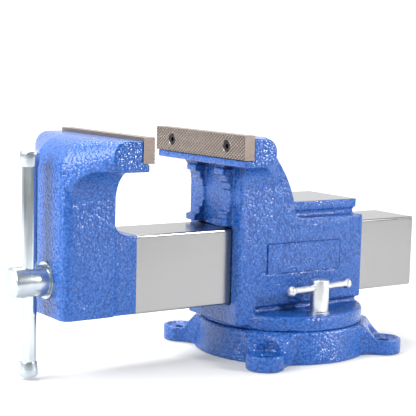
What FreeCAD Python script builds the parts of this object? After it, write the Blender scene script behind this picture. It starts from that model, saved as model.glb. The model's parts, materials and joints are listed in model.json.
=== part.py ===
"""Heavy bench vise on a swivel base, as separate solids in one frame.

Millimetres. +X runs along the slide bar from the handle to the anvil, +Y across the jaws, +Z up.
The origin is on the swivel axis, in the plane of the bench.
"""
import FreeCAD, Part
import math
import os
import re
import Sketcher
from FreeCAD import Rotation, Vector

doc = FreeCAD.newDocument("BenchVise")
sheet = doc.addObject("Spreadsheet::Sheet", "Sizes")

SIZES = [
    # jaws and their plates
    ("jaw_width", 203.2, "both jaws, across"),
    ("jaw_gap", 126.3, "between the plates, as stored"),
    ("plate_high", 30.7, "jaw plate height"),
    ("plate_thick", 15.6, "jaw plate thickness"),
    ("jaw_top", 294.3, "top of the plates above the bench"),
    ("plate_proud", 4, "plates above the casting"),
    ("plate_fit", 0.1, "under and behind each plate"),
    ("lip_high", 9.5, "ledge under each plate"),
    ("static_lip_back", 3, "static ledge behind its plate's face"),
    ("moving_lip_back", 6.2, "moving ledge behind its plate's face"),
    ("static_plate_face", 141.8, "swivel axis to the static plate's face"),
    ("screw_pitch_y", 126, "between a plate's two screws"),
    ("plate_screw_rad", 4, "M8 shank"),
    ("plate_head_rad", 7, "socket head"),
    ("plate_head_high", 8, "socket head"),
    ("plate_screw_deep", 22, "thread in the casting"),
    ("plate_head_sunk", 1, "socket head below the plate's face"),
    ("plate_key", 6, "hexagon key across flats"),
    ("clear_small", 0.3, "general clearance"),
    # slide bar and moving jaw
    ("bar_half", 40.5, "half the slide bar's width"),
    ("bar_low", 73.7, "slide bar's underside"),
    ("bar_high", 171.4, "slide bar's top"),
    ("bar_rear", 198.4, "slide bar's rear end"),
    ("channel_half", 27.5, "half the slide bar's hollow"),
    ("bar_roof", 14, "slide bar's top wall"),
    ("bar_round", 2, "slide bar's long edges"),
    ("slab_inset", 1.7, "slab's inner face behind the plate's back"),
    ("slab_thick", 70, "moving jaw's upright, along the bar"),
    ("slab_half", 43.9, "half the upright's width"),
    ("slab_round", 10.5, "upright's outer corners"),
    ("slab_crown", 42, "radius over the moving jaw's top"),
    ("front_wall", 31, "moving jaw's wall round the screw"),
    ("throat_round", 22, "upright to slide bar"),
    ("throat_top", 12, "upright to head"),
    ("moving_head_back", 38, "head's ends behind the plate"),
    ("head_high", 40, "head's ends"),
    ("head_round", 17.5, "head's ends, rear corners"),
    ("moving_flare", 40, "upright's side into the head"),
    # static jaw
    ("body_front", 114, "swivel axis to the casting's front face"),
    ("body_rear", 91.5, "swivel axis to the casting's rear face"),
    ("body_half", 58, "half the casting's width"),
    ("body_low", 69.3, "lower edge of the side panels"),
    ("skirt_low", 47.5, "lower edge of the front"),
    ("skirt_rear", 88, "swivel axis to the skirt's rear"),
    ("neck_half", 50, "half width between panel and turntable"),
    ("shoulder", 182, "top of the casting behind the jaw"),
    ("body_round", 4.5, "upright corners"),
    ("static_head_back", 35.5, "head's ends behind the plate"),
    ("static_flare", 30, "neck's side into the head"),
    ("neck_foot", 12, "neck's rear into the shoulder"),
    ("head_sweep", 95, "radius of the static head's rear, seen from above"),
    ("neck_rear_low", 25, "neck's rear face above the shoulder"),
    ("neck_rear_arc", 150, "radius of the neck's rear"),
    ("anvil_high", 203, "anvil's top"),
    ("anvil_half", 50, "half the anvil's width"),
    ("anvil_rear", 84, "swivel axis to the anvil's rear"),
    ("anvil_band", 11.5, "height of the anvil's upper band"),
    ("anvil_inset", 3, "anvil's foot inside its band"),
    ("slide_fit", 0.3, "slide bar in its tunnel"),
    ("plaque_front", 68.5, "blank raised panel, towards the jaw"),
    ("plaque_rear", 50.5, "blank raised panel, towards the anvil"),
    ("plaque_low", 111, "blank raised panel"),
    ("plaque_high", 150, "blank raised panel"),
    ("plaque_proud", 1.2, "blank raised panel"),
    # pipe jaws
    ("pipe_low", 175.5, "lowest pipe tooth"),
    ("pipe_tooth", 9.3, "height of one pipe tooth"),
    ("pipe_in", 21, "inner side of each toothed column"),
    ("pipe_out", 42, "outer side of each toothed column"),
    ("pipe_deep", 2.5, "column depth at its middle"),
    ("pipe_tip", 17, "column depth at its ends"),
    ("moving_pipe_out", 36, "outer side, moving jaw"),
    ("moving_pipe_deep", 0.6, "column depth at its middle, moving jaw"),
    ("moving_pipe_tip", 4.6, "column depth at its ends, moving jaw"),
    # turntable
    ("table_rad", 109.4, "turntable"),
    ("table_top", 60.5, "turntable's top"),
    ("table_round", 4.5, "turntable's upper edge"),
    ("swivel_gap", 0.3, "turntable over the base"),
    ("spigot_rad", 30, "turntable's pivot"),
    ("spigot_low", 12, "pivot's lower end"),
    ("running_fit", 0.05, "radial clearance of turning parts"),
    # base
    ("base_high", 41.5, "base's top face"),
    ("drum_low_rad", 117.5, "drum at the bench"),
    ("drum_top_rad", 111.3, "drum at its top"),
    ("ear_circle", 276.3, "bolt circle diameter"),
    ("ear_rad", 24.7, "ear's end"),
    ("ear_thick", 20, "ear"),
    ("ear_blend", 30, "ear's sides into the drum"),
    ("ramp_top", 113, "top of the ramp above each ear, from the axis"),
    ("ramp_foot", 132, "foot of the ramp, from the axis"),
    ("bolt_rad", 8, "bench bolt holes"),
    ("spot_rad", 20, "spot face round each bolt hole"),
    ("spot_deep", 3, "spot face"),
    ("hub_rad", 46, "base's centre hub"),
    ("floor_low", 11, "underside of the groove's floor"),
    ("groove_low", 18, "groove's floor"),
    ("ledge_low", 29.5, "ledge that the nuts pull against"),
    ("slot_half", 9, "half the groove's slot"),
    ("tee_half", 17, "half the groove under the ledge"),
    ("entry_rad", 17.5, "holes that let the nuts in"),
    ("cavity_rad", 105, "hollow under the base"),
    # lock bolts
    ("lock_x", 4, "lock bolts ahead of the swivel axis"),
    ("lock_y", 86, "lock bolts either side"),
    ("lock_hub_rad", 12.2, "lock bolt's head"),
    ("lock_hub_high", 41.5, "lock bolt's head"),
    ("lock_hole_high", 31, "cross hole above the head's foot"),
    ("lock_shank_rad", 6, "lock bolt's shank"),
    ("lock_low", 23, "lock bolt's lower end"),
    ("lock_wash_rad", 14.2, "lock washer"),
    ("lock_wash_thick", 2.5, "lock washer"),
    ("tommy_rad", 4.2, "lock bar"),
    ("tommy_half", 56, "half the lock bar's length"),
    ("tommy_end_rad", 6.7, "lock bar's upset ends"),
    ("tommy_end_long", 10, "lock bar's upset ends"),
    ("tommy_turn", 7.3, "lock bar's angle from X, degrees"),
    ("cross_fit", 0.08, "bars in their cross holes"),
    ("nut_gap", 0.4, "lock nut under the ledge, slack"),
    ("nut_radial", 15, "half the lock nut, radially"),
    ("nut_along", 13, "half the lock nut, along the groove"),
    ("neck_radial", 8, "half the nut's neck, radially"),
    ("neck_along", 11, "half the nut's neck, along the groove"),
    ("nut_low", 19.5, "lock nut's underside"),
    ("neck_top", 38.5, "top of the nut's neck"),
    # main screw
    ("screw_high", 118.1, "screw axis above the bench"),
    ("screw_rad", 14, "screw over its thread"),
    ("screw_rear", 142, "swivel axis to the screw's end"),
    ("hub_turn_rad", 19, "screw's hub"),
    ("hub_long", 44, "screw's hub"),
    ("hub_edge", 2, "hub's bevel"),
    ("thrust_rad", 22.5, "thrust washer"),
    ("thrust_thick", 2.5, "thrust washer"),
    ("spring_coil_rad", 19.4, "opening spring, to the wire's centre"),
    ("spring_wire_rad", 1.5, "opening spring's wire"),
    ("spring_turns", 3.5, "opening spring"),
    ("spring_long", 20, "opening spring, as fitted"),
    ("keep_wash_gap", 4.5, "spring washer inside the slide bar's hollow"),
    ("keep_wash_thick", 2.5, "spring washer"),
    ("keep_gap", 5.5, "retaining collar inside the slide bar's hollow"),
    ("keep_long", 15, "retaining collar"),
    ("pin_rad", 3, "collar pin"),
    # spindle nut
    ("nut_side_gap", 1.5, "spindle nut inside the slide bar's hollow"),
    ("nut_front", 34, "spindle nut ahead of its bolt"),
    ("nut_rear", 40, "spindle nut behind its bolt"),
    ("nut_top", 143, "spindle nut's top"),
    ("nut_bolt_rad", 8, "nut bolt M16"),
    ("nut_bolt_top", 96, "nut bolt's end"),
    ("nut_bolt_seat", 50, "face under the washer"),
    ("nut_bolt_head_rad", 12, "nut bolt's head"),
    ("nut_bolt_head_high", 14, "nut bolt's head"),
    ("nut_bolt_key", 14, "hexagon key across flats"),
    ("nut_wash_rad", 14, "nut bolt's washer"),
    ("nut_wash_thick", 3, "nut bolt's washer"),
    ("seat_rad", 16, "counterbore for the nut bolt's head"),
    # handle
    ("handle_x", 378, "swivel axis to the handle"),
    ("handle_rad", 9.5, "handle bar"),
    ("handle_low", 4, "handle's lower end"),
    ("handle_high", 273.7, "handle's upper end"),
    ("cap_skin", 2.5, "handle caps over the bar"),
    ("cap_long", 18.5, "handle caps"),
    ("cap_wall", 3, "cap beyond the bar's end"),
    ("cap_round", 4, "cap's outer edges"),
    ("cap_taper", 6.5, "cap's taper to its mouth"),
    ("cap_lip", 0.7, "cap's mouth over the bar"),
]
for row, (alias, size, note) in enumerate(SIZES, start=1):
    sheet.set(f"A{row}", note)
    sheet.set(f"B{row}", str(size))
    sheet.setAlias(f"B{row}", alias)
doc.recompute()

ALIASES = {alias for alias, _, _ in SIZES}


def value(text):
    """An expression's value from the sheet, in millimetres."""
    return float(sheet.evalExpression(str(text)))


def cells(text):
    """The expression with every alias written as a cell of the sheet."""
    return re.sub(
        r"[A-Za-z_]\w*",
        lambda word: f"Sizes.{word.group()}" if word.group() in ALIASES else word.group(),
        str(text),
    )


def bind(thing, path, text):
    thing.setExpression(path, cells(text))


def new_body(label, x="0", y="0", z="0", turn=None):
    """A sub-part, with its own frame at x, y, z."""
    body = doc.addObject("PartDesign::Body", label)
    body.Label = label
    if turn is not None:
        body.Placement = FreeCAD.Placement(Vector(), turn)
    for path, text in (("x", x), ("y", y), ("z", z)):
        if text != "0":
            bind(body, f"Placement.Base.{path}", text)
    return body


def new_sketch(body, name, plane, lift="0", shift=("0", "0")):
    """A sketch on one of the body's own planes, moved along its normal and within it."""
    sketch = body.newObject("Sketcher::SketchObject", name)
    face = [item for item in body.Origin.OriginFeatures if item.Role == f"{plane}_Plane"][0]
    sketch.AttachmentSupport = [(face, "")]
    sketch.MapMode = "FlatFace"
    for axis, text in (("x", shift[0]), ("y", shift[1]), ("z", lift)):
        if text != "0":
            bind(sketch, f"AttachmentOffset.Base.{axis}", text)
    return sketch


def hold(sketch, geometry, point, x, y):
    """Ties one point of a sketch to two expressions."""
    for text, kind, axis in ((x, "DistanceX", -2), (y, "DistanceY", -1)):
        size = value(text)
        if abs(size) < 1e-9:
            sketch.addConstraint(Sketcher.Constraint("PointOnObject", geometry, point, axis))
            continue
        number = sketch.addConstraint(
            Sketcher.Constraint(kind, -1, 1, geometry, point, size)
        )
        bind(sketch, f"Constraints[{number}]", text)


def arc_centre(start, end, radius, left):
    """The centre of an arc from start to end, on its left or right hand."""
    along = end - start
    middle = (start + end) * 0.5
    rise = math.sqrt(radius**2 - along.Length**2 / 4)
    normal = Vector(-along.y, along.x, 0).normalize()
    return middle + normal * (rise if left else -rise)


def outline(body, name, plane, corners, lift="0", shift=("0", "0")):
    """A closed outline. A corner is (x, y), or (x, y, radius, left) where an arc starts."""
    sketch = new_sketch(body, name, plane, lift, shift)
    points = [Vector(value(corner[0]), value(corner[1]), 0) for corner in corners]
    ends = []
    for number, corner in enumerate(corners):
        start = points[number]
        end = points[(number + 1) % len(points)]
        if len(corner) == 2:
            sketch.addGeometry(Part.LineSegment(start, end))
            ends.append((1, 2))
            continue
        radius, left = corner[2:]
        centre = arc_centre(start, end, value(radius), left)
        circle = Part.Circle(centre, Vector(0, 0, 1), value(radius))
        first, last = (start, end) if left else (end, start)
        sketch.addGeometry(
            Part.ArcOfCircle(circle, circle.parameter(first), circle.parameter(last))
        )
        ends.append((1, 2) if left else (2, 1))
    for number, corner in enumerate(corners):
        after = (number + 1) % len(corners)
        sketch.addConstraint(
            Sketcher.Constraint("Coincident", number, ends[number][1], after, ends[after][0])
        )
        hold(sketch, number, ends[number][0], corner[0], corner[1])
        if len(corner) == 4:
            spot = sketch.addConstraint(
                Sketcher.Constraint("Radius", number, value(corner[2]))
            )
            bind(sketch, f"Constraints[{spot}]", corner[2])
    return sketch


def rectangle(body, name, plane, low, high, lift="0", shift=("0", "0")):
    corners = [(low[0], low[1]), (high[0], low[1]), (high[0], high[1]), (low[0], high[1])]
    return outline(body, name, plane, corners, lift, shift)


def circles(body, name, plane, rings, lift="0", shift=("0", "0")):
    """A sketch of full circles, each (x, y, radius)."""
    sketch = new_sketch(body, name, plane, lift, shift)
    for number, (x, y, radius) in enumerate(rings):
        centre = Vector(value(x), value(y), 0)
        sketch.addGeometry(Part.Circle(centre, Vector(0, 0, 1), value(radius)))
        if value(x) or value(y):
            hold(sketch, number, 3, x, y)
        else:
            sketch.addConstraint(Sketcher.Constraint("Coincident", number, 3, -1, 1))
        spot = sketch.addConstraint(Sketcher.Constraint("Radius", number, value(radius)))
        bind(sketch, f"Constraints[{spot}]", radius)
    return sketch


def settle(feature):
    """Recomputes the document and stops if the feature failed."""
    doc.recompute()
    if "Invalid" in feature.State or "Error" in feature.State or feature.Shape.isNull():
        raise RuntimeError(f"{feature.Label} failed: {feature.State} {feature.getStatusString()}")
    return feature


def grow(body, kind, name, sketch, length, both=False, back=False):
    """A pad or pocket of a sketch. both: half each way. back: against the sketch's normal."""
    feature = body.newObject(f"PartDesign::{kind}", name)
    feature.Profile = sketch
    bind(feature, "Length", length)
    feature.Midplane = both
    feature.Reversed = back
    return settle(feature)


def pad(body, name, sketch, length, both=False, back=False):
    return grow(body, "Pad", name, sketch, length, both, back)


def pocket(body, name, sketch, length, both=False, back=True):
    """back is True by default, so that a pocket cuts along its sketch's normal."""
    return grow(body, "Pocket", name, sketch, length, both, back)


def turned(body, name, corners, axis, kind="Revolution"):
    """A half section in the XZ plane, turned round the body's X or Z axis."""
    sketch = outline(body, f"{name}_section", "XZ", corners)
    feature = body.newObject(f"PartDesign::{kind}", name)
    feature.Profile = sketch
    feature.ReferenceAxis = (sketch, ["H_Axis" if axis == "X" else "V_Axis"])
    feature.Angle = 360
    return settle(feature)


def soften(body, name, kind, size, spots):
    """Fillets or chamfers the edge nearest to each spot."""
    base = body.Tip
    names = set()
    for spot in spots:
        vertex = Part.Vertex(*[value(text) for text in spot])
        gaps = [edge.distToShape(vertex)[0] for edge in base.Shape.Edges]
        names.add(f"Edge{gaps.index(min(gaps)) + 1}")
    feature = body.newObject(f"PartDesign::{kind}", name)
    feature.Base = (base, sorted(names))
    if kind == "Fillet":
        bind(feature, "Radius", size)
    else:
        bind(feature, "Size", size)
    return settle(feature)


# Places worked out from the sizes, as expressions
STATIC_BACK = "(static_plate_face - plate_thick)"
MOVING_FACE = "(static_plate_face + jaw_gap)"
MOVING_BACK = f"({MOVING_FACE} + plate_thick)"
SLAB_IN = f"({MOVING_BACK} + slab_inset)"
SLAB_OUT = f"({SLAB_IN} + slab_thick)"
HEAD_TOP = "(jaw_top - plate_proud)"
PLATE_LOW = "(jaw_top - plate_high)"
LEDGE_TOP = f"({PLATE_LOW} - plate_fit)"
LEDGE_LOW = f"({LEDGE_TOP} - lip_high)"
GROOVE_RAD = "sqrt(lock_x ^ 2 + lock_y ^ 2)"
WALL_BACK = f"({SLAB_OUT} - front_wall)"
PLATE_MID = "(jaw_top - plate_high / 2)"
HUB_BACK = f"({SLAB_OUT} + thrust_thick + running_fit)"
HUB_FRONT = f"({HUB_BACK} + hub_long)"
SPRING_END = f"({WALL_BACK} - spring_long - clear_small / 3)"
KEEP_BACK = f"({SPRING_END} - keep_wash_thick)"
KEEP_MID = f"({KEEP_BACK} - keep_long / 2)"
LOCK_FOOT = "(table_top + lock_wash_thick)"
KEEP_WASH_RAD = "(channel_half - keep_wash_gap)"
KEEP_RAD = "(channel_half - keep_gap)"
NUT_HALF = "(channel_half - nut_side_gap)"
CAP_RAD = "(handle_rad + cap_skin)"
ALONG_X = Rotation(Vector(0, 1, 0), 90)
AGAINST_X = Rotation(Vector(0, 1, 0), -90)


def swivel_base():
    body = new_body("swivel_base")
    turned(body, "drum", [
        ("0", "0"), ("drum_low_rad", "0"), ("drum_top_rad", "base_high"), ("0", "base_high"),
    ], "Z")
    centre = "ear_circle / 2"
    # the blend's centre lies where circles of drum + blend and ear side + blend meet
    aside = "(ear_rad + ear_blend)"
    drum = "(drum_top_rad + 2)"
    ahead = f"sqrt(({drum} + ear_blend) ^ 2 - {aside} ^ 2)"
    share = f"{drum} / ({drum} + ear_blend)"
    for number in range(4):
        turn = 45 + 90 * number
        sketch = outline(body, f"ear_{number + 1}_plan", "XY", [
            (f"{ahead} * {share}", f"-{aside} * {share}", "ear_blend", False),
            (ahead, "-ear_rad"),
            (centre, "-ear_rad", "ear_rad", True),
            (f"{centre} + ear_rad", "0", "ear_rad", True),
            (centre, "ear_rad"),
            (ahead, "ear_rad", "ear_blend", False),
            (f"{ahead} * {share}", f"{aside} * {share}"),
            ("hub_rad", f"{aside} * {share}"),
            ("hub_rad", f"-{aside} * {share}"),
        ])
        sketch.AttachmentOffset = FreeCAD.Placement(
            Vector(), Rotation(Vector(0, 0, 1), turn)
        )
        pad(body, f"ear_{number + 1}", sketch, "base_high")
    ramp = [
        ("ramp_top", "base_high"), ("ramp_foot", "ear_thick"), ("ear_circle", "ear_thick"),
        ("ear_circle", "base_high + 1"), ("ramp_top", "base_high + 1"),
    ]
    for number in range(4):
        turn = 45 + 90 * number
        sketch = outline(body, f"ramp_{number + 1}_side", "XZ", ramp)
        sketch.AttachmentOffset = FreeCAD.Placement(
            Vector(), Rotation(Vector(0, 1, 0), turn)
        )
        pocket(body, f"ramp_{number + 1}", sketch, "4 * ear_rad + 4 * ear_blend", both=True)
    reach = f"({centre}) / sqrt(2)"
    spots = [(f"{sx}{reach}", f"{sy}{reach}") for sx in ("", "-") for sy in ("", "-")]
    pocket(body, "spot_faces", circles(body, "spot_plan", "XY", [
        (x, y, "spot_rad") for x, y in spots
    ], lift="ear_thick - spot_deep"), "base_high")
    pocket(body, "bolt_holes", circles(body, "bolt_plan", "XY", [
        (x, y, "bolt_rad") for x, y in spots
    ]), "base_high")
    turned(body, "groove", [
        (f"{GROOVE_RAD} - tee_half", "groove_low"), (f"{GROOVE_RAD} + tee_half", "groove_low"),
        (f"{GROOVE_RAD} + tee_half", "ledge_low"), (f"{GROOVE_RAD} + slot_half", "ledge_low"),
        (f"{GROOVE_RAD} + slot_half", "base_high + 1"),
        (f"{GROOVE_RAD} - slot_half", "base_high + 1"),
        (f"{GROOVE_RAD} - slot_half", "ledge_low"), (f"{GROOVE_RAD} - tee_half", "ledge_low"),
    ], "Z", kind="Groove")
    turned(body, "hollow", [
        ("hub_rad", "-1"), ("cavity_rad", "-1"), ("cavity_rad", "floor_low"),
        ("hub_rad", "floor_low"),
    ], "Z", kind="Groove")
    pocket(body, "pivot_bore", circles(body, "pivot_plan", "XY", [
        ("0", "0", "spigot_rad + running_fit"),
    ]), "base_high + 1")
    pocket(body, "entry_holes", circles(body, "entry_plan", "XY", [
        (GROOVE_RAD, "0", "entry_rad"), (f"-{GROOVE_RAD}", "0", "entry_rad"),
    ], lift="floor_low - 1"), "groove_low - floor_low + 2")
    return body


def toothed_column(body, name, face, way, deep, tip, near, far):
    """Pipe jaw teeth on a face at x = -face: eight steps along a hollow curve, both sides."""
    root = f"-{face} {'+' if way == '-' else '-'} 2"
    corners = [(root, "pipe_low")]
    for step in range(8):
        off = abs(step - 3.5) / 3.5
        x = f"-{face} {way} ({deep} + ({tip} - {deep}) * {off:.3f} ^ 2)"
        corners.append((x, f"pipe_low + {step} * pipe_tooth"))
        corners.append((x, f"pipe_low + {step + 1} * pipe_tooth - 1"))
    corners.append((root, "pipe_low + 8 * pipe_tooth - 1"))
    for side, lift in (("near", near), ("far", f"-{far}")):
        sketch = outline(body, f"{name}_{side}_side", "XZ", corners, lift=lift)
        pad(body, f"{name}_{side}", sketch, f"{far} - {near}")


def jaw_head(body, name, way, back, face, lip_back, deep):
    """The head behind and under a plate: its rear corners rounded, its ledge in front.

    way is "+" where the head's rear lies towards +X, "-" where it lies towards -X.
    """
    left = way == "-"
    fore = "-" if way == "+" else "+"
    rear = f"-{back} {way} {deep}"
    sketch = outline(body, f"{name}_side", "XZ", [
        (f"-{back}", HEAD_TOP),
        (f"{rear} {fore} head_round", HEAD_TOP, "head_round", left),
        (rear, f"{HEAD_TOP} - head_round"),
        (rear, f"{LEDGE_LOW} + head_round", "head_round", left),
        (f"{rear} {fore} head_round", LEDGE_LOW),
        (f"-{face} {way} {lip_back}", LEDGE_LOW),
        (f"-{face} {way} {lip_back}", LEDGE_TOP),
        (f"-{back}", LEDGE_TOP),
    ])
    pad(body, name, sketch, "jaw_width", both=True)


def narrow_neck(body, name, half, flare, low, start, stop):
    """Cuts both sides of a jaw's upright back to half, flaring out under the head."""
    for side, sign, left in (("far", "", True), ("near", "-", False)):
        sketch = outline(body, f"{name}_{side}_front", "YZ", [
            (f"{sign}({half})", low),
            (f"{sign}(jaw_width / 2 + 1)", low),
            (f"{sign}(jaw_width / 2 + 1)", LEDGE_LOW),
            (f"{sign}({half} + {flare})", LEDGE_LOW, flare, left),
            (f"{sign}({half})", f"{LEDGE_LOW} - {flare}"),
        ], lift=start)
        pocket(body, f"{name}_{side}", sketch, f"{stop} - ({start})")


def taper_head(body, name, way, tip, root, half):
    """Cuts the rear of a jaw's head away towards its ends, along a hollow curve."""
    for side, sign in (("far", ""), ("near", "-")):
        left = (way == "+") == (sign == "")
        sketch = outline(body, f"{name}_{side}_plan", "XY", [
            (tip, f"{sign}(jaw_width / 2 + 1)"),
            (tip, f"{sign}(jaw_width / 2)", "head_sweep", left),
            (root, f"{sign}({half})"),
            (f"{root} {way} 60", f"{sign}({half})"),
            (f"{root} {way} 60", f"{sign}(jaw_width / 2 + 1)"),
        ], lift=f"{LEDGE_LOW} - 60")
        pocket(body, f"{name}_{side}", sketch, f"{HEAD_TOP} - {LEDGE_LOW} + 61")


def screw_holes(body, name, start, back):
    """Threaded holes for a plate's two screws, in the casting behind it."""
    sketch = circles(body, f"{name}_plan", "YZ", [
        (f"{sign}screw_pitch_y / 2", PLATE_MID, "plate_screw_rad + running_fit")
        for sign in ("", "-")
    ], lift=start)
    pocket(body, name, sketch, "plate_screw_deep + 2", back=back)


def vise_body():
    body = new_body("vise_body")
    turned(body, "turntable", [
        ("0", "base_high + swivel_gap"), ("table_rad", "base_high + swivel_gap"),
        ("table_rad", "table_top"), ("0", "table_top"),
    ], "Z")
    soften(body, "turntable_edge", "Fillet", "table_round", [("0", "table_rad", "table_top")])
    pad(body, "spigot", circles(body, "spigot_plan", "XY", [
        ("0", "0", "spigot_rad"),
    ], lift="spigot_low"), "base_high - spigot_low + 2")
    pad(body, "waist", rectangle(
        body, "waist_plan", "XY", ("-skirt_rear - 4", "-neck_half"), ("body_rear - 3", "neck_half"),
        lift="table_top - 2"), "body_low - table_top + 4")
    pad(body, "panels", rectangle(
        body, "panels_plan", "XY", ("-body_front", "-body_half"), ("body_rear", "body_half"),
        lift="body_low"), "shoulder - body_low")
    pad(body, "skirt", rectangle(
        body, "skirt_plan", "XY", ("-body_front", "-body_half"), ("-skirt_rear", "body_half"),
        lift="skirt_low"), "body_low - skirt_low + 1")
    soften(body, "panel_corners", "Fillet", "body_round", [
        (x, y, "shoulder - 20")
        for x in ("-body_front", "body_rear") for y in ("-body_half", "body_half")
    ])
    # the neck: full jaw width first, then its sides and its rear are cut back
    pad(body, "neck", outline(body, "neck_side", "XZ", [
        ("-body_front", "shoulder - 10"),
        ("-neck_rear_low + neck_foot", "shoulder - 10"),
        ("-neck_rear_low + neck_foot", "shoulder", "neck_foot", False),
        ("-neck_rear_low", "shoulder + neck_foot", "neck_rear_arc", True),
        (f"-{STATIC_BACK} + static_head_back", HEAD_TOP),
        (f"-{STATIC_BACK}", HEAD_TOP),
        (f"-{STATIC_BACK}", LEDGE_TOP),
        ("-body_front", LEDGE_TOP),
    ]), "jaw_width", both=True)
    narrow_neck(body, "neck_waist", "body_half", "static_flare", "shoulder - 11",
                "-body_front - 1", "body_rear")
    taper_head(body, "neck_taper", "+", f"-{STATIC_BACK} + static_head_back - head_round",
               "-neck_rear_low - 30", "body_half")
    jaw_head(body, "static_head", "+", STATIC_BACK, "static_plate_face", "static_lip_back",
             "static_head_back")
    pad(body, "plaques", rectangle(
        body, "plaque_side", "XZ", ("-plaque_front", "plaque_low"), ("plaque_rear", "plaque_high"),
    ), "2 * (body_half + plaque_proud)", both=True)
    pad(body, "anvil_foot", rectangle(
        body, "anvil_foot_plan", "XY", ("-neck_rear_low - 5", "-anvil_half + anvil_inset"),
        ("anvil_rear - anvil_inset", "anvil_half - anvil_inset"), lift="shoulder - 1",
    ), "anvil_high - shoulder")
    pad(body, "anvil", rectangle(
        body, "anvil_plan", "XY", ("-neck_rear_low - 5", "-anvil_half"),
        ("anvil_rear", "anvil_half"), lift="anvil_high - anvil_band",
    ), "anvil_band")
    toothed_column(body, "pipe_teeth", "body_front", "-", "pipe_deep", "pipe_tip",
                   "pipe_in", "pipe_out")
    pocket(body, "tunnel", rectangle(
        body, "tunnel_end", "YZ", ("-bar_half - slide_fit", "bar_low - slide_fit"),
        ("bar_half + slide_fit", "bar_high + slide_fit"), lift="-body_front - 1",
    ), "body_front + body_rear + 2")
    pocket(body, "nut_bolt_hole", circles(body, "nut_bolt_plan", "XY", [
        ("0", "0", "nut_bolt_rad + clear_small"),
    ], lift="spigot_low"), "bar_low - spigot_low")
    pocket(body, "nut_bolt_recess", circles(body, "nut_recess_plan", "XY", [
        ("0", "0", "seat_rad"),
    ], lift="spigot_low - 1"), "nut_bolt_seat - spigot_low + 1")
    pocket(body, "lock_holes", circles(body, "lock_plan", "XY", [
        ("-lock_x", f"{sign}lock_y", "lock_shank_rad + clear_small") for sign in ("", "-")
    ], lift="base_high"), "table_top - base_high + 1")
    screw_holes(body, "static_screw_holes", f"-{STATIC_BACK} - 2", True)
    return body


def wing_section(body, name, rear, crown, low, lift):
    """A section across one wing of the moving jaw's head, rounded at its rear."""
    return outline(body, name, "XZ", [
        (f"-{SLAB_IN}", HEAD_TOP),
        (f"{rear} + {crown}", HEAD_TOP, crown, True),
        (rear, f"{HEAD_TOP} - {crown}"),
        (rear, f"{low} + head_round", "head_round", True),
        (f"{rear} + head_round", low),
        (f"-{SLAB_IN}", low),
    ], lift=lift)


def moving_jaw():
    body = new_body("moving_jaw")
    pad(body, "slide_bar", rectangle(
        body, "bar_end", "YZ", ("-bar_half", "bar_low"), ("bar_half", "bar_high"),
        lift=f"-{SLAB_IN} - 10"), f"{SLAB_IN} + 10 + bar_rear")
    soften(body, "bar_edges", "Fillet", "bar_round", [
        ("0", f"{sign}bar_half", z) for sign in ("", "-") for z in ("bar_high", "bar_low")
    ])
    pad(body, "upright", outline(body, "upright_side", "XZ", [
        (f"-{SLAB_OUT}", "bar_low"),
        (f"-{SLAB_IN}", "bar_low"),
        (f"-{SLAB_IN}", f"{LEDGE_LOW} - throat_top", "throat_top", False),
        (f"-{SLAB_IN} + throat_top", LEDGE_LOW),
        (f"-{MOVING_BACK}", LEDGE_TOP),
        (f"-{MOVING_BACK}", HEAD_TOP),
        (f"-{SLAB_OUT} + slab_crown", HEAD_TOP, "slab_crown", True),
        (f"-{SLAB_OUT}", f"{HEAD_TOP} - slab_crown"),
    ]), "2 * slab_half", both=True)
    soften(body, "upright_corners", "Fillet", "slab_round", [
        (f"-{SLAB_OUT}", f"{sign}slab_half", "screw_high") for sign in ("", "-")
    ])
    # a wing on each side runs from the upright's crown out to the head's end
    for side, sign in (("far", "-"), ("near", "")):
        root = wing_section(body, f"wing_{side}_root", f"-{SLAB_OUT}", "slab_crown",
                            f"{LEDGE_LOW} - moving_flare", f"{sign}(slab_half - slab_round)")
        tip = wing_section(body, f"wing_{side}_tip", f"-{MOVING_BACK} - moving_head_back",
                           "head_round", LEDGE_LOW, f"{sign}jaw_width / 2")
        wing = body.newObject("PartDesign::AdditiveLoft", f"wing_{side}")
        wing.Profile = root
        wing.Sections = [tip]
        wing.Ruled = True
        settle(wing)
    narrow_neck(body, "upright_waist", "slab_half", "moving_flare", "bar_low - 1",
                f"-{SLAB_OUT} - 1", f"-{SLAB_IN} + throat_top + 2")
    jaw_head(body, "moving_head", "-", MOVING_BACK, MOVING_FACE, "moving_lip_back",
             "moving_head_back")
    pad(body, "throat", outline(body, "throat_side", "XZ", [
        (f"-{SLAB_IN} - 1", "bar_high - 1"),
        (f"-{SLAB_IN} + throat_round", "bar_high - 1"),
        (f"-{SLAB_IN} + throat_round", "bar_high", "throat_round", False),
        (f"-{SLAB_IN}", "bar_high + throat_round"),
        (f"-{SLAB_IN} - 1", "bar_high + throat_round"),
    ]), "2 * bar_half - 2 * bar_round", both=True)
    toothed_column(body, "pipe_teeth", SLAB_IN, "+", "moving_pipe_deep", "moving_pipe_tip",
                   "pipe_in", "moving_pipe_out")
    pocket(body, "channel", rectangle(
        body, "channel_end", "YZ", ("-channel_half", "bar_low - 1"),
        ("channel_half", "bar_high - bar_roof"), lift=f"-{WALL_BACK}",
    ), f"{WALL_BACK} + bar_rear + 1")
    pocket(body, "screw_bore", circles(body, "screw_bore_end", "YZ", [
        ("0", "screw_high", "screw_rad + clear_small"),
    ], lift=f"-{SLAB_OUT} - 1"), "front_wall + 2")
    screw_holes(body, "moving_screw_holes", f"-{MOVING_BACK} + 2", False)
    return body


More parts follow.
